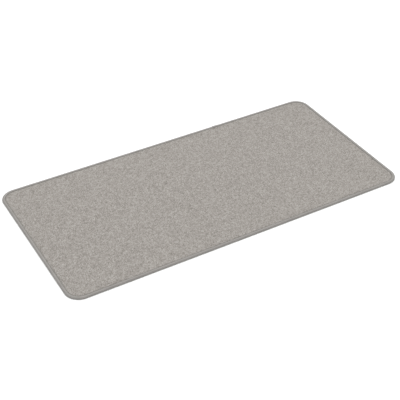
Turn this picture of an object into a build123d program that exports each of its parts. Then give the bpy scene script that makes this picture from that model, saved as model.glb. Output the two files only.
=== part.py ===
from build123d import *
import os

# Anti-fatigue floor mat with a textile face and a bound edge. Millimetres, +Z up.
# Origin: centre of the underside. +X runs along the long side, +Y along the short side.
# The mat is a laminate (face fabric, film, foam, film, rubber) cut to a rounded rectangle.
# A binding tape wraps its pressed, rounded edge and is held by one line of lockstitch.

# ---- driving dimensions ----

mat_length = 1220.0
mat_width = 600.0
mat_thickness = 7.0
corner_radius = 50.0        # in plan, at the outside of the tape

tape_thickness = 0.8
tape_reach = 10.5           # how far the tape reaches in from the outer edge, above and below
tape_edge_radius = 3.2      # rounding of the bound edge in section, outside the tape

fabric_thickness = 1.0      # where the tape presses it
film_thickness = 0.2
backing_thickness = 1.0     # without the raised grip field

seam_inset = 9.2            # outer edge to the middle of the line of stitches
thread_width = 0.6
thread_depth = 0.3
thread_recess = 0.1         # how deep the thread lies below the tape's surface

# ---- derived sizes ----

# The laminate inside the tape.
core_length = mat_length - 2 * tape_thickness
core_width = mat_width - 2 * tape_thickness
core_corner = corner_radius - tape_thickness
core_edge_radius = tape_edge_radius - tape_thickness
core_bottom = tape_thickness
core_top = mat_thickness - tape_thickness

# The field inside the tape's inner edge, where fabric and rubber stand flush with the tape.
field_length = mat_length - 2 * tape_reach
field_width = mat_width - 2 * tape_reach
field_corner = corner_radius - tape_reach

# The heights where one layer meets the next.
backing_top = core_bottom + backing_thickness
foam_bottom = backing_top + film_thickness
fabric_bottom = core_top - fabric_thickness
foam_top = fabric_bottom - film_thickness

# The line of stitches.
seam_length = mat_length - 2 * seam_inset
seam_width = mat_width - 2 * seam_inset
seam_corner = corner_radius - seam_inset
seam_depth = thread_recess + thread_depth
needle_thread_bottom = mat_thickness - seam_depth

os.makedirs("parts", exist_ok=True)

# ---- shapes that several pieces share ----

# The laminate's outer shape with its pressed edge, before it is divided into layers.
with BuildPart() as laminate:
    with BuildSketch(Plane.XY.offset(core_bottom)):
        RectangleRounded(core_length, core_width, core_corner)
    extrude(amount=core_top - core_bottom)
    fillet(laminate.faces().sort_by(Axis.Z)[-1].edges(), core_edge_radius)
    fillet(laminate.faces().sort_by(Axis.Z)[0].edges(), core_edge_radius)

# The opening inside the tape, seen from above.
with BuildSketch() as field_outline:
    RectangleRounded(field_length, field_width, field_corner)

# The closed line of stitches, seen from above.
with BuildSketch() as seam_outline:
    RectangleRounded(seam_length + thread_width, seam_width + thread_width, seam_corner + thread_width / 2)
    RectangleRounded(
        seam_length - thread_width,
        seam_width - thread_width,
        seam_corner - thread_width / 2,
        mode=Mode.SUBTRACT,
    )

# ---- the laminate, from the floor up ----

# Rubber sheet. Its grip field drops level with the tape, so the mat rests on both.
with BuildPart() as grip_backing:
    add(laminate.part)
    split(bisect_by=Plane.XY.offset(backing_top), keep=Keep.BOTTOM)
    with BuildSketch(Plane.XY):
        add(field_outline.sketch)
    extrude(amount=core_bottom)
grip_backing.part.label = "grip_backing"
export_step(grip_backing.part, "parts/grip_backing.step")

# Hot-melt film between the rubber and the foam.
with BuildPart() as bonding_film_lower:
    add(laminate.part)
    split(bisect_by=Plane.XY.offset(backing_top), keep=Keep.TOP)
    split(bisect_by=Plane.XY.offset(foam_bottom), keep=Keep.BOTTOM)
bonding_film_lower.part.label = "bonding_film_lower"
export_step(bonding_film_lower.part, "parts/bonding_film_lower.step")

# Foam core that gives under the feet.
with BuildPart() as comfort_foam:
    add(laminate.part)
    split(bisect_by=Plane.XY.offset(foam_bottom), keep=Keep.TOP)
    split(bisect_by=Plane.XY.offset(foam_top), keep=Keep.BOTTOM)
comfort_foam.part.label = "comfort_foam"
export_step(comfort_foam.part, "parts/comfort_foam.step")

# Hot-melt film between the foam and the fabric.
with BuildPart() as bonding_film_upper:
    add(laminate.part)
    split(bisect_by=Plane.XY.offset(foam_top), keep=Keep.TOP)
    split(bisect_by=Plane.XY.offset(fabric_bottom), keep=Keep.BOTTOM)
bonding_film_upper.part.label = "bonding_film_upper"
export_step(bonding_film_upper.part, "parts/bonding_film_upper.step")

# Woven face. The tape presses its border thinner, and its field stands level with the tape.
with BuildPart() as face_fabric:
    add(laminate.part)
    split(bisect_by=Plane.XY.offset(fabric_bottom), keep=Keep.TOP)
    with BuildSketch(Plane.XY.offset(core_top)):
        add(field_outline.sketch)
    extrude(amount=mat_thickness - core_top)
face_fabric.part.label = "face_fabric"
export_step(face_fabric.part, "parts/face_fabric.step")

# ---- the bound edge ----

# Tape wrapped round the edge, with a shallow groove above and below where the stitches pull in.
with BuildPart() as edge_binding:
    with BuildSketch(Plane.XY):
        RectangleRounded(mat_length, mat_width, corner_radius)
    extrude(amount=mat_thickness)
    fillet(edge_binding.faces().sort_by(Axis.Z)[-1].edges(), tape_edge_radius)
    fillet(edge_binding.faces().sort_by(Axis.Z)[0].edges(), tape_edge_radius)
    add(laminate.part, mode=Mode.SUBTRACT)
    with BuildSketch(Plane.XY):
        add(field_outline.sketch)
    extrude(amount=mat_thickness, mode=Mode.SUBTRACT)
    with BuildSketch(Plane.XY):
        add(seam_outline.sketch)
    extrude(amount=seam_depth, mode=Mode.SUBTRACT)
    with BuildSketch(Plane.XY.offset(needle_thread_bottom)):
        add(seam_outline.sketch)
    extrude(amount=seam_depth, mode=Mode.SUBTRACT)
edge_binding.part.label = "edge_binding"
export_step(edge_binding.part, "parts/edge_binding.step")

# Thread of the lockstitch that shows on top of the tape.
with BuildPart() as binding_needle_thread:
    with BuildSketch(Plane.XY.offset(needle_thread_bottom)):
        add(seam_outline.sketch)
    extrude(amount=thread_depth)
binding_needle_thread.part.label = "binding_needle_thread"
export_step(binding_needle_thread.part, "parts/binding_needle_thread.step")

# Thread of the lockstitch that shows under the tape.
with BuildPart() as binding_bobbin_thread:
    with BuildSketch(Plane.XY.offset(thread_recess)):
        add(seam_outline.sketch)
    extrude(amount=thread_depth)
binding_bobbin_thread.part.label = "binding_bobbin_thread"
export_step(binding_bobbin_thread.part, "parts/binding_bobbin_thread.step")
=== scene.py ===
import math

import bpy
import numpy as np
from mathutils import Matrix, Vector
from mathutils.geometry import delaunay_2d_cdt


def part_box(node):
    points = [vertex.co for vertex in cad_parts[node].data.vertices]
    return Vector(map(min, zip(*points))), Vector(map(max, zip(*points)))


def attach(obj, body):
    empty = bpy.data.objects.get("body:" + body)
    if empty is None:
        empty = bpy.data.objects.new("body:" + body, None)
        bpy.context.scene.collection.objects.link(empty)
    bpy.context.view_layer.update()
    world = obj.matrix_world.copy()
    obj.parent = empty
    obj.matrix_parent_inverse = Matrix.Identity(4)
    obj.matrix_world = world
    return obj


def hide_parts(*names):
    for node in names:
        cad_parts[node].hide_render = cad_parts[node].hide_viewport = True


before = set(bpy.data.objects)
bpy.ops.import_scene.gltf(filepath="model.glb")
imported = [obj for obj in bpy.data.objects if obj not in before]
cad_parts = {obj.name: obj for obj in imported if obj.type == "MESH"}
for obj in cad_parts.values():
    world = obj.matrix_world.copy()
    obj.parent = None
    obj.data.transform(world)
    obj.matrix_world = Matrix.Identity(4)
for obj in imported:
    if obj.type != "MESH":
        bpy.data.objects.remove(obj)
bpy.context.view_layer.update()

# The looks of a textile-faced anti-fatigue mat, in metres, in the CAD frame:
# +X along the long side, +Y along the short side, +Z up, origin under the middle of the mat.

# ---- sizes, from the frame and from how such a mat is sewn ----

MM = 0.001

HALF_X, HALF_Y, MAT_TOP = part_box("edge_binding")[1]
CORNER = 50 * MM                # plan radius at the outside of the tape
TAPE_THICK = 0.8 * MM
TAPE_REACH = 10.5 * MM          # the tape's inner edge, in from the outer edge
TAPE_EDGE = 3.2 * MM            # rounding of the bound edge in section

CORE_TOP = MAT_TOP - TAPE_THICK
FABRIC_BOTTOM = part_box("face_fabric")[0].z
FOAM_LOW, FOAM_HIGH = (corner.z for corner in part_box("comfort_foam"))
BACKING_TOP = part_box("grip_backing")[1].z

THREAD_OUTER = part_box("binding_needle_thread")[1].x
THREAD_WIDE = 0.6 * MM
SEAM = HALF_X - THREAD_OUTER + THREAD_WIDE / 2      # the line of stitches, in from the outer edge
STITCH = 4 * MM
JOIN_AT = -0.24                 # where the tape's ends meet, along the outline from the middle of +Y
JOIN_OVERLAP = 22 * MM
SEAM_DIP = 0.45 * MM            # how far the stitches pull the tape down
SEAM_DIP_WIDE = 1.4 * MM
TAPE_CURL = 0.25 * MM           # how far the tape's inner edge curls down
TAPE_CURL_WIDE = 1.4 * MM
TAPE_PUCKER = 0.09 * MM         # how much the tape rises between two stitches
TAPE_GATHER = 0.14 * MM         # the same for its gathers at the corners
TAPE_UNEVEN = 0.05 * MM         # how much its height varies along the edge
TAPE_WANDER = 0.22 * MM         # how much its inner edge wanders

TUFT = 2.9 * MM                 # about the pitch of the face fabric's slubs, two yarns each way
FABRIC_EDGE = 3 * MM            # the fabric's cut edge under the tape, in from the outer edge
BORDER_TUFTS = 9                # how many tufts in from the cut edge the fabric's mesh is twice as fine
CREASE_DEEP = 0.3 * MM          # how far the fabric beside the tape is pulled below the core's top
CREASE_SHADE_WIDE = 1.6 * MM          # how far the painted shade in that crease spreads
FABRIC_RISE = 4.5 * MM          # how far from the tape the pressed fabric takes to stand up again
FABRIC_FULL = 0.25 * MM         # how far the risen fabric's middle height lies below the tape's top
SLUB = 0.16 * MM                # how much a slub stands proud, on average

LAYER_GAP = 0.05 * MM           # between one layer of the mat and the next
CAP_GRID = 30 * MM              # spacing of the points inside a layer's flat faces
RIM_STEP = 6 * MM               # spacing of the points along a layer's edge


# ---- small tools ----


def mesh_piece(name, points, faces):
    """A smooth mesh object from an (n, 3) array and a list of (m, k) index arrays."""
    mesh = bpy.data.meshes.new(name)
    corners = np.concatenate([f.ravel() for f in faces])
    sizes = np.concatenate([np.full(len(f), f.shape[1]) for f in faces])
    mesh.vertices.add(len(points))
    mesh.vertices.foreach_set("co", np.asarray(points, np.float32).ravel())
    mesh.loops.add(len(corners))
    mesh.loops.foreach_set("vertex_index", corners.astype(np.int32))
    mesh.polygons.add(len(sizes))
    mesh.polygons.foreach_set("loop_start", (np.cumsum(sizes) - sizes).astype(np.int32))
    mesh.polygons.foreach_set("use_smooth", np.ones(len(sizes), bool))
    mesh.update(calc_edges=True)
    mesh.validate()
    piece = bpy.data.objects.new(name, mesh)
    bpy.context.scene.collection.objects.link(piece)
    return piece


def point_values(piece, name, values):
    """Stores one number per vertex, for the material to read."""
    attribute = piece.data.attributes.new(name, "FLOAT", "POINT")
    attribute.data.foreach_set("value", np.asarray(values, np.float32))


def outline(along, inset):
    """Points of the mat's rounded outline by their distance along it at that inset, counter-clockwise
    from the middle of the +Y side: the foot of each point on the rectangle of corner centres, and the
    outward normal. A point at inset d is foot + normal * (CORNER - d)."""
    flat_x, flat_y = HALF_X - CORNER, HALF_Y - CORNER
    arc = (CORNER - inset) * math.pi / 2
    lengths = [0, flat_x, arc, 2 * flat_y, arc, 2 * flat_x, arc, 2 * flat_y, arc, flat_x]
    knots = np.cumsum(lengths)
    along = np.mod(along, knots[-1] + 1e-12)
    foot_x = np.interp(along, knots, [0, *[-flat_x] * 4, *[flat_x] * 4, 0])
    foot_y = np.interp(along, knots, [flat_y] * 3 + [-flat_y] * 4 + [flat_y] * 3)
    turn = np.radians(np.interp(along, knots, [90, 90, 180, 180, 270, 270, 360, 360, 450, 450]))
    return np.stack([foot_x, foot_y], -1), np.stack([np.cos(turn), np.sin(turn)], -1)


def outline_length(inset):
    straight = 4 * (HALF_X - CORNER) + 4 * (HALF_Y - CORNER)
    return straight + 2 * math.pi * (CORNER - inset)


def inset_of(x, y):
    """How far points of the plan lie inside the mat's outer edge."""
    over_x = np.maximum(np.abs(x) - (HALF_X - CORNER), 0)
    over_y = np.maximum(np.abs(y) - (HALF_Y - CORNER), 0)
    straight = np.minimum(HALF_X - np.abs(x), HALF_Y - np.abs(y))
    return np.where((over_x > 0) & (over_y > 0), CORNER - np.hypot(over_x, over_y), straight)


def smooth_step(t):
    t = np.clip(t, 0, 1)
    return t * t * (3 - 2 * t)


def smooth_noise(rng, count, length, wave):
    """count rows of smooth noise, each sampled at length places, with a wave of that many places."""
    raw = rng.standard_normal((count, length + 8 * wave))
    taps = np.hanning(2 * wave + 3)[1:-1]
    taps /= np.sqrt((taps**2).sum())
    rows = np.stack([np.convolve(row, taps, "same") for row in raw])
    return rows[:, 4 * wave:4 * wave + length]


def seam_dip(inset):
    """How far the stitches pull the layers down, by the distance in from the outer edge."""
    return SEAM_DIP * np.exp(-(((inset - SEAM) / SEAM_DIP_WIDE) ** 2))


def cap(points, height, facing_up):
    """Triangles that fill a closed plan outline, finer at its edge, as new inner points and faces."""
    low, high = points.min(0), points.max(0)
    columns = np.arange(low[0] + CAP_GRID, high[0] - CAP_GRID / 2, CAP_GRID)
    rows = np.arange(low[1] + CAP_GRID, high[1] - CAP_GRID / 2, CAP_GRID)
    inner = np.stack(np.meshgrid(columns, rows), -1).reshape(-1, 2)
    inner = inner[inset_of(inner[:, 0], inner[:, 1]) > (HALF_X - high[0]) + CAP_GRID * 0.6]
    every = np.concatenate([points, inner])
    edges = [(i, (i + 1) % len(points)) for i in range(len(points))]
    made = delaunay_2d_cdt([Vector(p) for p in every], edges, [], 1, 1e-7)
    if len(made[0]) != len(every):
        raise RuntimeError("the cap's outline was changed by its triangulation")
    order = np.array([origin[0] for origin in made[3]])
    triangles = order[np.array(made[2])]
    a, b, c = (every[triangles[:, i]] for i in range(3))
    looks_up = np.cross(b - a, c - a) > 0
    triangles[looks_up != facing_up] = triangles[looks_up != facing_up][:, ::-1]
    return np.column_stack([inner, np.full(len(inner), height)]), triangles


def tube_faces(number):
    """Quads round one or more tubes. The last axis of the point numbers runs round a tube, and the
    one before it along the tube."""
    after = np.roll(number, -1, -1)
    corners = [number[..., :-1, :], number[..., 1:, :], after[..., 1:, :], after[..., :-1, :]]
    return np.stack(corners, -1).reshape(-1, 4)


def layer_mesh(low, high):
    """Points and faces of a flat layer of the core, whose edge follows the core's rounded edge."""
    heights = np.linspace(high, low, 9)
    core_edge = TAPE_EDGE - TAPE_THICK
    beyond = np.clip(np.abs(heights - MAT_TOP / 2) - (MAT_TOP / 2 - TAPE_EDGE), 0, core_edge)
    inset = TAPE_EDGE - np.sqrt(core_edge**2 - beyond**2) + LAYER_GAP
    count = round(outline_length(TAPE_REACH) / RIM_STEP)
    foot, normal = outline(np.arange(count) * outline_length(TAPE_REACH) / count, TAPE_REACH)
    plan = foot[:, None, :] + normal[:, None, :] * (CORNER - inset)[None, :, None]
    wall = np.concatenate([plan, np.broadcast_to(heights[None, :, None], (*plan.shape[:2], 1))], -1)
    number = np.arange(wall[..., 0].size).reshape(count, len(heights))
    top, above = cap(plan[:, 0], high, facing_up=True)
    bottom, below = cap(plan[:, -1], low, facing_up=False)
    top_number = np.concatenate([number[:, 0], number.size + np.arange(len(top))])
    bottom_number = np.concatenate([number[:, -1], number.size + len(top) + np.arange(len(bottom))])
    points = np.concatenate([wall.reshape(-1, 3), top, bottom])
    return points, [tube_faces(number.T), top_number[above], bottom_number[below]]


# ---- material tools ----


def new_material(name):
    """A material with one Principled shader, and its node tree."""
    material = bpy.data.materials.new(name)
    material.use_nodes = True
    tree = material.node_tree
    return material, tree, tree.nodes["Principled BSDF"]


def shade(tree, kind, inputs, output=0, **settings):
    """Adds a node, sets or links its inputs by name or number, and returns one of its outputs."""
    made = tree.nodes.new(kind)
    for key, value in settings.items():
        setattr(made, key, value)
    for key, value in inputs.items():
        if isinstance(value, bpy.types.NodeSocket):
            tree.links.new(value, made.inputs[key])
        else:
            made.inputs[key].default_value = value
    return made.outputs[output]


def calc(tree, operation, *values):
    """A Math node."""
    return shade(tree, "ShaderNodeMath", dict(enumerate(values)), operation=operation)


def parts(tree, vector):
    """The x, y and z of a vector socket."""
    made = tree.nodes.new("ShaderNodeSeparateXYZ")
    tree.links.new(vector, made.inputs[0])
    return made.outputs


def stored(tree, name):
    """A number stored on the mesh's points."""
    return shade(tree, "ShaderNodeAttribute", {}, output="Fac", attribute_name=name)


def ramp(tree, factor, *stops):
    """A colour ramp through (position, linear colour) stops."""
    made = tree.nodes.new("ShaderNodeValToRGB")
    tree.links.new(factor, made.inputs[0])
    ends = made.color_ramp.elements
    while len(ends) < len(stops):
        ends.new(0.5)
    for end, (position, colour) in zip(ends, stops):
        end.position = position
        end.color = (*colour, 1)
    return made.outputs[0]


def multiply(tree, first, second):
    """Two colours multiplied."""
    made = tree.nodes.new("ShaderNodeMix")
    made.data_type = "RGBA"
    made.blend_type = "MULTIPLY"
    made.inputs["Factor"].default_value = 1.0
    tree.links.new(first, made.inputs[6])
    tree.links.new(second, made.inputs[7])
    return made.outputs[2]


def dim(tree, colour, amount):
    """A colour multiplied by a number."""
    grey = shade(tree, "ShaderNodeCombineColor", {"Red": amount, "Green": amount, "Blue": amount})
    return multiply(tree, colour, grey)


YARN_WAVE = 0.3                 # how far a yarn swings up and down, in yarn pitches
YARN_RADIUS = 0.55
YARNS_APART = 7.3               # keeps the streaks of neighbouring yarns apart in the noise
STREAK_SCALE = 0.3              # waves of streak to a yarn pitch


def yarn_surface(tree, across, along, sign):
    """The height of the nearest of a row of yarns, and its number. across and along are counted in
    yarn pitches, and sign says which of the two sets of yarns it is."""
    number = calc(tree, "ROUND", across)
    off = calc(tree, "SUBTRACT", across, number)
    swing = calc(tree, "COSINE", calc(tree, "MULTIPLY", along, math.pi))
    over = calc(tree, "COSINE", calc(tree, "MULTIPLY", number, math.pi))
    minus_off = calc(tree, "MULTIPLY", off, -1.0)
    body = calc(tree, "SQRT", calc(tree, "MULTIPLY_ADD", minus_off, off, YARN_RADIUS**2))
    swing = calc(tree, "MULTIPLY", calc(tree, "MULTIPLY", swing, over), sign * YARN_WAVE)
    return calc(tree, "ADD", swing, body), number


def plain_weave(tree, u, v):
    """A plain weave over two coordinates counted in yarns: the height of the yarn on top, and a shade
    from 0 to 1 that changes from crossing to crossing and slowly along each yarn."""
    warp, warp_number = yarn_surface(tree, u, v, 1)
    weft, weft_number = yarn_surface(tree, v, u, -1)
    weft_on_top = calc(tree, "GREATER_THAN", weft, warp)
    height = calc(tree, "MAXIMUM", warp, weft)
    crossing = shade(tree, "ShaderNodeCombineXYZ", {0: warp_number, 1: weft_number, 2: weft_on_top})
    fleck = shade(tree, "ShaderNodeTexWhiteNoise", {"Vector": crossing})
    warp_apart = calc(tree, "MULTIPLY", warp_number, YARNS_APART)
    weft_apart = calc(tree, "MULTIPLY", weft_number, YARNS_APART)
    warp_place = shade(tree, "ShaderNodeCombineXYZ", {0: warp_apart, 1: v})
    weft_place = shade(tree, "ShaderNodeCombineXYZ", {0: u, 1: weft_apart})
    warp_streak = noise(tree, warp_place, STREAK_SCALE, 0.0)
    weft_streak = noise(tree, weft_place, STREAK_SCALE, 0.0)
    streak = shade(tree, "ShaderNodeMix", {0: weft_on_top, 2: warp_streak, 3: weft_streak})
    half_streak = calc(tree, "MULTIPLY", streak, 0.5)
    yarn_shade = calc(tree, "MULTIPLY_ADD", fleck, 0.5, half_streak)
    return calc(tree, "SUBTRACT", height, 0.1), yarn_shade


def bump(tree, shader, height, distance, strength=1.0):
    normal = shade(
        tree, "ShaderNodeBump", {"Height": height, "Distance": distance, "Strength": strength}
    )
    tree.links.new(normal, shader.inputs["Normal"])


def place(tree):
    """The piece's own coordinates, in metres, as a vector socket."""
    return shade(tree, "ShaderNodeTexCoord", {}, output="Object")


def noise(tree, where, scale, detail=2.0, roughness=0.5):
    """Noise with that many waves to the metre, about 0 to 1."""
    inputs = {"Vector": where, "Scale": scale, "Detail": detail, "Roughness": roughness}
    return shade(tree, "ShaderNodeTexNoise", inputs)


# ---- face fabric ----

YARN_WEIGHT = 0.45              # how much of the heather runs along the yarns
FLECK_WEIGHT = 0.65             # how much of it changes from tuft to tuft
HEATHER = 0.22                  # its contrast
FLECK_HIGH = 0.3                # how much of a tuft's height is its own, as a share of a slub


def tuft_count(half):
    return round(2 * half / TUFT)


def grid_lines(half):
    """Places of the fabric's grid along one side, counted in tufts from the cut edge."""
    count = tuft_count(half)
    border = np.arange(0, BORDER_TUFTS, 0.5)
    middle = np.arange(BORDER_TUFTS, count - BORDER_TUFTS + 1)
    return np.concatenate([border, middle, count - border[::-1]])


def fabric_grid():
    """The fabric's plan, cut to the rounded outline: the points, the column and row of the tuft that
    each is on, the faces and the closed boundary."""
    half_x, half_y = HALF_X - FABRIC_EDGE, HALF_Y - FABRIC_EDGE
    column, row = np.meshgrid(grid_lines(half_x), grid_lines(half_y))
    x = column * 2 * half_x / tuft_count(half_x) - half_x
    y = row * 2 * half_y / tuft_count(half_y) - half_y
    inside = inset_of(x, y) >= FABRIC_EDGE - 1e-6
    number = np.arange(x.size).reshape(x.shape)
    faces = np.stack([number[:-1, :-1], number[:-1, 1:], number[1:, 1:], number[1:, :-1]], -1)
    whole = inside[:-1, :-1] & inside[:-1, 1:] & inside[1:, 1:] & inside[1:, :-1]
    used, faces = np.unique(faces[whole], return_inverse=True)
    faces = faces.reshape(-1, 4)
    places = np.column_stack([x.ravel()[used], y.ravel()[used]])
    sides = np.concatenate([faces[:, [i, (i + 1) % 4]] for i in range(4)])
    key = sides[:, 0] * len(used) + sides[:, 1]
    back = sides[:, 1] * len(used) + sides[:, 0]
    rim = sides[~np.isin(key, back)]
    following = dict(rim.tolist())
    loop = [int(rim[0, 0])]
    while len(loop) < len(rim):
        loop.append(following[loop[-1]])
    column = column.ravel()[used].astype(int)
    row = row.ravel()[used].astype(int)
    return places, column, row, faces, np.array(loop)


def round_off(places, inset):
    """Moves a closed boundary, stepped at its corners, onto the outline at that inset. The steps of each
    corner are spread evenly between the straight sides that they join."""
    flat = np.array([HALF_X - CORNER, HALF_Y - CORNER])
    radius = CORNER - inset
    on_line = np.isclose(inset_of(places[:, 0], places[:, 1]), inset, rtol=0, atol=1e-7)
    on_line &= ~(np.abs(places) > flat).all(1)
    moved = places.copy()
    for begins, side in ((0, (1, 1)), (90, (-1, 1)), (180, (-1, -1)), (270, (1, -1))):
        found = np.flatnonzero(~on_line & (np.sign(places) == side).all(1))
        if found[-1] - found[0] >= len(found):
            found = np.roll(found, -1 - int(np.argmax(np.diff(found))))
        first = math.radians(begins)
        leaving = np.array([math.cos(first), math.sin(first)])
        arriving = np.array([-math.sin(first), math.cos(first)])
        centre = flat * side
        lead = np.linalg.norm(places[found[0] - 1] - centre - radius * leaving)
        tail = np.linalg.norm(places[(found[-1] + 1) % len(places)] - centre - radius * arriving)
        arc = radius * math.pi / 2
        along = np.linspace(0, lead + arc + tail, len(found) + 2)[1:-1]
        turn = first + np.clip((along - lead) / radius, 0, math.pi / 2)
        moved[found] = centre + radius * np.stack([np.cos(turn), np.sin(turn)], -1)
        moved[found] -= np.maximum(lead - along, 0)[:, None] * arriving
        moved[found] -= np.maximum(along - lead - arc, 0)[:, None] * leaving
    return moved


def build_face_fabric():
    """The woven face: thick and thin yarns, pressed flat under the tape and full inside it."""
    rng = np.random.default_rng(11)
    places, column, row, faces, loop = fabric_grid()
    places[loop] = round_off(places[loop], FABRIC_EDGE)
    count_x, count_y = column.max() + 1, row.max() + 1

    # Thickness and shade wander along each yarn: a warp yarn is a column, a weft yarn a row.
    warp_body = smooth_noise(rng, count_x, count_y, 2)[column, row]
    weft_body = smooth_noise(rng, count_y, count_x, 2)[row, column]
    warp_shade = smooth_noise(rng, count_x, count_y, 2)[column, row]
    weft_shade = smooth_noise(rng, count_y, count_x, 2)[row, column]
    fleck = rng.standard_normal((count_x, count_y))[column, row]
    warp_on_top = (column + row) % 2 == 0
    body = np.where(warp_on_top, warp_body, weft_body)
    yarn_shade = np.where(warp_on_top, warp_shade, weft_shade)
    heather = np.clip(0.5 + HEATHER * (YARN_WEIGHT * yarn_shade + FLECK_WEIGHT * fleck), 0, 1)

    inset = inset_of(places[:, 0], places[:, 1])
    core_edge = TAPE_EDGE - TAPE_THICK
    rounding = np.maximum(TAPE_EDGE - inset, 0)
    pressed = CORE_TOP - LAYER_GAP - seam_dip(inset)
    pressed += np.sqrt(core_edge**2 - rounding**2) - core_edge
    pressed -= CREASE_DEEP * smooth_step((inset - SEAM) / (TAPE_REACH - SEAM))
    full = MAT_TOP - FABRIC_FULL + SLUB * (body + FLECK_HIGH * fleck)
    free = smooth_step((inset - TAPE_REACH) / FABRIC_RISE)
    height = pressed + (full - pressed) * free

    top = np.column_stack([places, height])
    rim_low = np.column_stack([places[loop], np.full(len(loop), FABRIC_BOTTOM)])
    first = len(top)
    around = np.arange(len(loop))
    wall = tube_faces(np.stack([loop, first + around]))
    inner, below = cap(places[loop], FABRIC_BOTTOM, facing_up=False)
    points = np.concatenate([top, rim_low, inner])
    piece = mesh_piece("face_cloth", points, [faces, wall, first + below])

    hidden = np.zeros(len(points) - len(top))
    # Painted shade in the crease along the tape's inner edge: a narrow band, stored per point for the
    # material.
    crease_shade = np.exp(-(((inset - TAPE_REACH - 0.2 * MM) / CREASE_SHADE_WIDE) ** 2))
    point_values(piece, "heather", np.concatenate([heather, hidden + 0.5]))
    point_values(piece, "crease_shade", np.concatenate([crease_shade, hidden]))
    piece.data.materials.append(fabric_material())
    return piece


def fabric_material():
    """Heathered weave: the broad shades come with each tuft, the yarns and fibres from patterns. Painted
    shade darkens the gaps between yarns and the crease beside the tape.
    """
    material, tree, shader = new_material("heather_fabric")
    where = place(tree)
    x, y, _ = parts(tree, where)

    # Two yarns to a tuft. They wander a little, so the weave isn't ruled with a straight edge.
    half_x, half_y = HALF_X - FABRIC_EDGE, HALF_Y - FABRIC_EDGE
    to_yarns_x = tuft_count(half_x) / half_x
    to_yarns_y = tuft_count(half_y) / half_y
    wander = calc(tree, "SUBTRACT", noise(tree, where, 70, 1.0), 0.5)
    u = calc(tree, "MULTIPLY_ADD", wander, 1.1, calc(tree, "MULTIPLY", x, to_yarns_x))
    v = calc(tree, "MULTIPLY_ADD", wander, -1.1, calc(tree, "MULTIPLY", y, to_yarns_y))
    yarn, yarn_shade = plain_weave(tree, u, v)

    # The plies' twist crosses each yarn at a slant.
    twist = calc(tree, "SINE", calc(tree, "MULTIPLY", calc(tree, "ADD", u, v), 2 * math.pi * 1.5))
    fibre = noise(tree, where, 2400, 3.0, 0.65)

    yarn_tone = calc(tree, "SUBTRACT", yarn_shade, 0.5)
    fibre_tone = calc(tree, "SUBTRACT", fibre, 0.5)
    tone = calc(tree, "MULTIPLY_ADD", yarn_tone, 0.8, stored(tree, "heather"))
    tone = calc(tree, "MULTIPLY_ADD", fibre_tone, 0.4, tone)
    colour = ramp(
        tree, tone,
        (0.0, (0.184, 0.166, 0.148)),
        (0.5, (0.346, 0.322, 0.296)),
        (1.0, (0.518, 0.492, 0.462)),
    )
    # Painted shade between the yarns: the lower the weave's surface, the darker its colour.
    yarn_gap_shade = calc(tree, "MULTIPLY_ADD", yarn, 0.75, 0.52)
    # Painted shade in that crease darkens the fabric by up to a third.
    crease_painted_shade = calc(tree, "MULTIPLY_ADD", stored(tree, "crease_shade"), -0.32, 1.0)
    colour = dim(tree, colour, calc(tree, "MULTIPLY", yarn_gap_shade, crease_painted_shade))
    tree.links.new(colour, shader.inputs["Base Color"])
    height = calc(tree, "MULTIPLY_ADD", twist, 0.03, yarn)
    height = calc(tree, "MULTIPLY_ADD", fibre, 0.18, height)
    bump(tree, shader, height, TUFT / 2, 0.75)
    shader.inputs["Roughness"].default_value = 0.92
    shader.inputs["Specular IOR Level"].default_value = 0.25
    shader.inputs["Sheen Weight"].default_value = 0.1
    shader.inputs["Sheen Roughness"].default_value = 0.5
    return material


# ---- edge binding ----

RIB_PITCH = 0.95 * MM
WARP_PITCH = 0.6 * MM
TAPE_SHY = 0.04 * MM            # how much thinner the tape is than its CAD, to clear the layers
CREST_AT = 0.6 * SEAM           # the middle of the tape's crest, in from the outer edge
CREST_WIDE = 2.4 * MM
CLIMB_EARLY = 3 * MM            # how far before its own start the tape begins to climb over it
CLIMB = 5 * MM                  # the length of that climb


def tape_section():
    """The tape's outside in section, from its inner edge on top, round the edge of the mat, to its
    inner edge underneath: rows of inset, height and outward normal, and each one's distance along."""
    flat = np.linspace(TAPE_REACH, TAPE_EDGE, 13)
    turn = np.radians(np.linspace(0, 90, 8))[1:]
    turn_inset = TAPE_EDGE * (1 - np.sin(turn))
    turn_height = MAT_TOP - TAPE_EDGE * (1 - np.cos(turn))
    top = np.stack([flat, flat * 0 + MAT_TOP, flat * 0, flat * 0 + 1], -1)
    upper = np.concatenate([top, np.stack([turn_inset, turn_height, -np.sin(turn), np.cos(turn)], -1)])
    lower = upper[::-1] * [1, -1, 1, -1] + [0, MAT_TOP, 0, 0]
    section = np.concatenate([upper, lower])
    steps = np.linalg.norm(np.diff(section[:, :2], axis=0), axis=1)
    return section, np.concatenate([[0], np.cumsum(steps)])


def stitch_count():
    return round(outline_length(SEAM) / STITCH)


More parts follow.
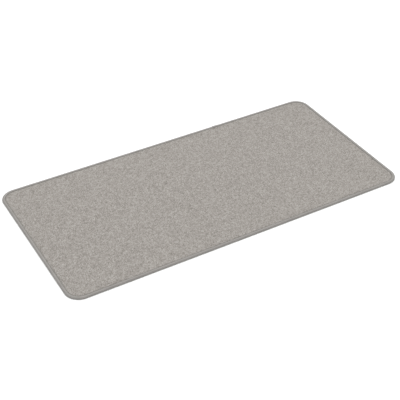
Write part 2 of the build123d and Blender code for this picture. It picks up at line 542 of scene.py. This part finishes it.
def build_edge_binding():
    """One length of woven tape, wrapped round the edge, that ends by overlapping its own start."""
    rng = np.random.default_rng(23)
    section, across = tape_section()
    whole = outline_length(SEAM)
    stations_per_stitch = 2
    step = whole / stitch_count() / stations_per_stitch
    count = stitch_count() * stations_per_stitch + round(JOIN_OVERLAP / step) + 1
    along = np.arange(count) * step
    foot, normal = outline(along + JOIN_AT, SEAM)

    inset, height, out_inset, out_height = section.T
    on_top = height > MAT_TOP / 2
    is_flange = np.where(on_top, MAT_TOP - height, height) < TAPE_EDGE / 2
    phase = np.cos(2 * math.pi * np.arange(count) / stations_per_stitch)
    heading = np.degrees(np.arctan2(normal[:, 1], normal[:, 0]))
    from_corner = np.abs(np.mod(heading, 90) - 45)
    cornering = smooth_step((43 - from_corner) / 6)

    # What moves the tape off its ideal section, as station by section point: the stitches pull it
    # down, it puckers between them, gathers at the corners, wanders and laps over its own start.
    crest = np.exp(-(((inset - CREST_AT) / CREST_WIDE) ** 2)) * is_flange
    slow = smooth_noise(rng, 2, count, 16)
    quick = smooth_noise(rng, 1, count, 2)[0]
    pull = np.outer(0.8 - 0.35 * phase, seam_dip(inset) * is_flange)
    pucker = np.outer(TAPE_PUCKER * phase, crest)
    gathered = np.outer(TAPE_GATHER * quick * cornering, crest)
    uneven = (TAPE_UNEVEN * slow[0])[:, None]
    lap = TAPE_THICK * smooth_step((along - whole + CLIMB_EARLY) / CLIMB)[:, None]
    curl = TAPE_CURL * smooth_step((inset - (TAPE_REACH - TAPE_CURL_WIDE)) / TAPE_CURL_WIDE) * on_top
    away = lap + uneven + pucker + gathered - pull - curl
    past_seam = np.clip((inset - SEAM) / (TAPE_REACH - SEAM), 0, 1) * is_flange
    sideways = np.outer(TAPE_WANDER * slow[1], past_seam)

    def layer(offset, chosen):
        shift = away[:, chosen] + offset
        inset_there = inset[chosen] + sideways[:, chosen] + out_inset[chosen] * shift
        height_there = height[chosen] + out_height[chosen] * shift
        plan = foot[:, None, :] + normal[:, None, :] * (CORNER - inset_there)[:, :, None]
        return np.concatenate([plan, np.maximum(height_there, 0.0)[:, :, None]], -1)

    outer = np.arange(len(inset))
    inner = np.append(outer[::4], outer[-1])[::-1]
    ring = np.concatenate([layer(0.0, outer), layer(TAPE_SHY - TAPE_THICK, inner)], 1)
    wide = ring.shape[1]
    number = np.arange(count * wide).reshape(count, wide)
    # The section runs the other way round from a stitch's or a stud's, so its faces are turned over.
    skin = tube_faces(number)[:, [0, 3, 2, 1]]
    piece = mesh_piece("binding_tape", ring.reshape(-1, 3), [skin, number[:1, ::-1], number[-1:]])
    point_values(piece, "along", np.repeat(along, wide))
    point_values(piece, "across", np.tile(across[np.concatenate([outer, inner])], count))
    piece.data.materials.append(tape_material())
    return piece


def tape_material():
    """Grosgrain tape: ribs across it, bound by finer warp yarns, with painted shade in the crease at its
    inner edge and over its rounded outer edge.
    """
    material, tree, shader = new_material("woven_tape")
    where = place(tree)
    across = stored(tree, "across")
    ribs = calc(tree, "MULTIPLY", stored(tree, "along"), 1 / RIB_PITCH)
    warps = calc(tree, "MULTIPLY", across, 1 / WARP_PITCH)
    yarn, yarn_shade = plain_weave(tree, ribs, warps)
    fibre = noise(tree, where, 2600, 3.0, 0.6)
    blotch = noise(tree, where, 45, 2.0)
    tone = calc(tree, "MULTIPLY_ADD", yarn_shade, 0.25, calc(tree, "MULTIPLY", fibre, 0.35))
    tone = calc(tree, "MULTIPLY_ADD", blotch, 0.4, tone)
    colour = ramp(tree, tone, (0.2, (0.262, 0.250, 0.235)), (0.8, (0.396, 0.379, 0.358)))
    # Painted shade between the yarns: the lower the weave's surface, the darker its colour.
    rib_gap_shade = calc(tree, "MULTIPLY_ADD", yarn, 0.6, 0.6)

    # Painted shade by the place across the tape: darkest in the crease at its inner edge, none on the
    # crest beside it, darker again over the rounded edge and the outer wall, and a little at its inner
    # edge underneath.
    width = tape_section()[1][-1]
    tape_painted_shade = ramp(
        tree, calc(tree, "MULTIPLY", across, 1 / width),
        (0.0, (0.61, 0.61, 0.61)),
        (2.8 * MM / width, (0.99, 0.99, 0.99)),
        (5.0 * MM / width, (0.99, 0.99, 0.99)),
        (7.5 * MM / width, (0.76, 0.76, 0.76)),
        (18.0 * MM / width, (0.76, 0.76, 0.76)),
        (1.0, (0.92, 0.92, 0.92)),
    )
    tree.links.new(multiply(tree, dim(tree, colour, rib_gap_shade), tape_painted_shade), shader.inputs["Base Color"])
    height = calc(tree, "MULTIPLY_ADD", fibre, 0.2, yarn)
    bump(tree, shader, height, 0.55 * MM, 0.7)
    shader.inputs["Roughness"].default_value = 0.85
    shader.inputs["Specular IOR Level"].default_value = 0.3
    shader.inputs["Sheen Weight"].default_value = 0.08
    return material


# ---- the line of lockstitch ----

STITCH_SHOWS = 0.93             # the part of a stitch that lies between its holes
STITCH_SUNK = 0.55 * MM         # how deep its ends go
STITCH_PROUD = 0.12 * MM        # how high its middle stands above the pulled-down tape
STITCH_SLANT = 0.09 * MM        # how far each half leans across the seam
THREAD_HIGH = 0.46 * MM
PLY_BULGE = 0.16
PLY_TWIST = 5.5                 # radians along one stitch


def build_stitches(name, top_side):
    """Separate stitches of two-ply thread, each coming out of one hole and going down the next."""
    rng = np.random.default_rng(31 if top_side else 32)
    count = stitch_count()
    pitch = outline_length(SEAM) / count
    rings, sides = 9, 8
    t = np.linspace(0, 1, rings)
    turn = np.linspace(0, 2 * math.pi, sides, endpoint=False)
    starts = (np.arange(count) + 0.5) * pitch + rng.normal(0, 0.06 * MM, count)
    along = starts[:, None] + t * pitch * STITCH_SHOWS
    foot, normal = outline(along + JOIN_AT, SEAM)

    # A stitch arches out of the tape and sinks into its holes, and leans across the seam.
    arch = np.sin(math.pi * t) ** 0.45
    rise = arch * (STITCH_SUNK + STITCH_PROUD) - STITCH_SUNK
    centre = MAT_TOP - 0.8 * SEAM_DIP + rise if top_side else 0.8 * SEAM_DIP - rise
    lean = rng.normal(0, 0.05 * MM, (count, 1)) + STITCH_SLANT * (2 * t - 1)

    # Its section has two plies that turn round each other, and it is thinner where it dives.
    ply = 1 + PLY_BULGE * np.cos(2 * (turn - PLY_TWIST * t[:, None]))
    thin = 0.55 + 0.45 * np.sqrt(np.sin(math.pi * np.clip(t, 0.06, 0.94)))[:, None]
    sideways = THREAD_WIDE / 2 * ply * thin * np.cos(turn)
    upwards = THREAD_HIGH / 2 * ply * thin * np.sin(turn)
    reach = CORNER - SEAM + lean[:, :, None] + sideways
    plan = foot[:, :, None, :] + normal[:, :, None, :] * reach[..., None]
    height = np.broadcast_to(np.maximum(centre[:, None] + upwards, 0.0), reach.shape)
    points = np.concatenate([plan, height[..., None]], -1)
    number = np.arange(reach.size).reshape(reach.shape)
    ends = [number[:, 0, :], number[:, -1, ::-1]]
    piece = mesh_piece(name, points.reshape(-1, 3), [tube_faces(number), *ends])
    piece.data.materials.append(thread_material(name))
    return piece


def thread_material(name):
    material, tree, shader = new_material(name + "_thread")
    where = place(tree)
    lint = noise(tree, where, 2200, 3.0, 0.6)
    colour = ramp(tree, lint, (0.3, (0.145, 0.137, 0.126)), (0.7, (0.237, 0.225, 0.209)))
    tree.links.new(colour, shader.inputs["Base Color"])
    bump(tree, shader, lint, 0.08 * MM, 0.7)
    shader.inputs["Roughness"].default_value = 0.62
    shader.inputs["Sheen Weight"].default_value = 0.15
    return material


# ---- foam core ----


def build_foam():
    """The cushioning core: its cut edge rounds over where the tape squeezes it."""
    piece = mesh_piece("foam_core", *layer_mesh(FOAM_LOW, FOAM_HIGH))
    piece.data.materials.append(foam_material())
    return piece


def foam_material():
    """Closed-cell foam: small bubbles, cut open on the faces."""
    material, tree, shader = new_material("cell_foam")
    where = place(tree)
    cells = shade(tree, "ShaderNodeTexVoronoi", {"Vector": where, "Scale": 900.0}, output="Distance")
    blotch = noise(tree, where, 30, 2.0)
    tone = calc(tree, "MULTIPLY_ADD", blotch, 0.3, cells)
    colour = ramp(tree, tone, (0.1, (0.070, 0.070, 0.074)), (0.8, (0.145, 0.145, 0.150)))
    tree.links.new(colour, shader.inputs["Base Color"])
    bump(tree, shader, cells, 0.3 * MM, 0.6)
    shader.inputs["Roughness"].default_value = 0.9
    return material


# ---- bonding films, kept as CAD nodes ----


def film_material():
    """Hot-melt web: a milky film with a fine, uneven skin."""
    material, tree, shader = new_material("hot_melt_film")
    where = place(tree)
    web = noise(tree, where, 350, 4.0, 0.6)
    colour = ramp(tree, web, (0.3, (0.46, 0.45, 0.42)), (0.7, (0.66, 0.65, 0.61)))
    tree.links.new(colour, shader.inputs["Base Color"])
    bump(tree, shader, web, 0.05 * MM, 0.5)
    shader.inputs["Roughness"].default_value = 0.45
    return material


# ---- grip backing ----

STUD_PITCH = 20 * MM
STUD_BASE = 5.6 * MM            # radii
STUD_TOP = 4.6 * MM
STUD_CLEAR = 2.5 * MM           # between a stud and the tape


def stud_centres():
    """Staggered rows of studs over the field inside the tape."""
    row_gap = STUD_PITCH * math.sqrt(3) / 2
    rows = np.arange(-round(HALF_Y / row_gap), round(HALF_Y / row_gap) + 1)
    columns = np.arange(-round(HALF_X / STUD_PITCH), round(HALF_X / STUD_PITCH) + 1)
    column, row = np.meshgrid(columns, rows)
    centres = np.stack([(column + (row % 2) / 2) * STUD_PITCH, row * row_gap], -1).reshape(-1, 2)
    clear = inset_of(centres[:, 0], centres[:, 1]) > TAPE_REACH + STUD_BASE + STUD_CLEAR
    return centres[clear]


def build_grip_backing():
    """A rubber sheet with moulded studs in staggered rows, which stand level with the tape."""
    sheet, sheet_faces = layer_mesh(TAPE_THICK, BACKING_TOP)
    centres = stud_centres()
    turn = np.linspace(0, 2 * math.pi, 12, endpoint=False)
    circle = np.stack([np.cos(turn), np.sin(turn), 0 * turn], -1)

    # From the sheet down: a drafted wall, a rolled rim and a slightly dished face.
    levels = np.array([
        (STUD_BASE, TAPE_THICK + 0.1 * MM),
        (STUD_TOP + 0.25 * MM, 0.12 * MM),
        (STUD_TOP - 0.1 * MM, 0.0),
        (STUD_TOP * 0.55, 0.14 * MM),
    ])
    stud = circle * levels[:, None, :1] + np.array([0, 0, 1]) * levels[:, None, 1:]
    studs = stud + np.pad(centres, ((0, 0), (0, 1)))[:, None, None, :]
    number = len(sheet) + np.arange(studs[..., 0].size).reshape(studs.shape[:3])
    points = np.concatenate([sheet, studs.reshape(-1, 3)])
    faces = [*sheet_faces, tube_faces(number), number[:, -1, ::-1], number[:, 0, :]]
    piece = mesh_piece("grip_sheet", points, faces)
    piece.data.materials.append(rubber_material())
    return piece


def rubber_material():
    """Moulded rubber: charcoal, matte, with a fine grain and a faint bloom."""
    material, tree, shader = new_material("grip_rubber")
    where = place(tree)
    grain = noise(tree, where, 1500, 3.0, 0.6)
    bloom = noise(tree, where, 14, 3.0)
    colour = ramp(tree, bloom, (0.3, (0.034, 0.034, 0.036)), (0.75, (0.062, 0.061, 0.060)))
    tree.links.new(colour, shader.inputs["Base Color"])
    roughness = calc(tree, "MULTIPLY_ADD", bloom, 0.18, 0.58)
    tree.links.new(roughness, shader.inputs["Roughness"])
    bump(tree, shader, grain, 0.12 * MM, 0.6)
    return material


# ---- stage ----

FLOOR_HALF = 14.0
FLOOR_WHITE = 0.97
SURROUND = 0.8                  # brightness of the even surround, which the far floor blends into
LAMP_SIDE = 7.0
LAMP_UP = 5.0
LAMP_POWER = 205                # watts

LENS = 85                       # millimetres, on a sensor 36 mm wide
HEADING = 30                    # degrees from +Y towards +X
DOWN = 37.5                     # degrees below level
AIM = (-0.0317, -0.0458, 0)     # the point in the middle of the picture, in mat lengths
DISTANCE = 2.563                # from the camera to that point, in mat lengths


def build_stage():
    """A white floor, a large soft light overhead and an even pale surround."""
    corners = np.array([(-1, -1, 0), (1, -1, 0), (1, 1, 0), (-1, 1, 0)]) * FLOOR_HALF
    floor = mesh_piece("floor", corners, [np.array([[0, 1, 2, 3]])])
    material, tree, shader = new_material("floor_white")
    shader.inputs["Base Color"].default_value = (*[FLOOR_WHITE] * 3, 1)
    shader.inputs["Roughness"].default_value = 1.0
    shader.inputs["Specular IOR Level"].default_value = 0.0
    shader.inputs["Emission Color"].default_value = (1, 1, 1, 1)
    shader.inputs["Emission Strength"].default_value = (1 - FLOOR_WHITE) * SURROUND
    floor.data.materials.append(material)

    world = bpy.data.worlds.new("studio")
    bpy.context.scene.world = world
    world.use_nodes = True
    world.node_tree.nodes["Background"].inputs["Color"].default_value = (1, 1, 1, 1)
    world.node_tree.nodes["Background"].inputs["Strength"].default_value = SURROUND

    lamp = bpy.data.lights.new("overhead", "AREA")
    lamp.shape = "RECTANGLE"
    lamp.size = LAMP_SIDE
    lamp.size_y = LAMP_SIDE
    lamp.energy = LAMP_POWER
    lamp_object = bpy.data.objects.new("overhead", lamp)
    lamp_object.location = (0, 0, LAMP_UP)
    bpy.context.scene.collection.objects.link(lamp_object)


def build_camera():
    """A camera in front of the mat and to its left, looking down at it."""
    length = 2 * HALF_X
    heading, down = math.radians(HEADING), math.radians(DOWN)
    aim = Vector(AIM) * length
    forward = Vector((
        math.sin(heading) * math.cos(down),
        math.cos(heading) * math.cos(down),
        -math.sin(down),
    ))
    lens = bpy.data.cameras.new("camera")
    lens.lens = LENS
    lens.sensor_width = 36
    lens.clip_end = 100
    camera = bpy.data.objects.new("camera", lens)
    camera.location = aim - forward * DISTANCE * length
    camera.rotation_euler = forward.to_track_quat("-Z", "Y").to_euler()
    bpy.context.scene.collection.objects.link(camera)
    bpy.context.scene.camera = camera


# ---- build it all ----

build_stage()
build_camera()
bpy.context.scene.view_settings.view_transform = "Standard"
bpy.context.scene.view_settings.look = "None"

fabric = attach(build_face_fabric(), "root")
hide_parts("face_fabric")

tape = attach(build_edge_binding(), "root")
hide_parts("edge_binding")

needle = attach(build_stitches("needle_stitches", True), "root")
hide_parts("binding_needle_thread")

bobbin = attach(build_stitches("bobbin_stitches", False), "root")
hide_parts("binding_bobbin_thread")

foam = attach(build_foam(), "root")
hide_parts("comfort_foam")

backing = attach(build_grip_backing(), "root")
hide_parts("grip_backing")

film = film_material()
for node in ("bonding_film_upper", "bonding_film_lower"):
    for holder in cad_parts[node].material_slots:
        holder.material = film
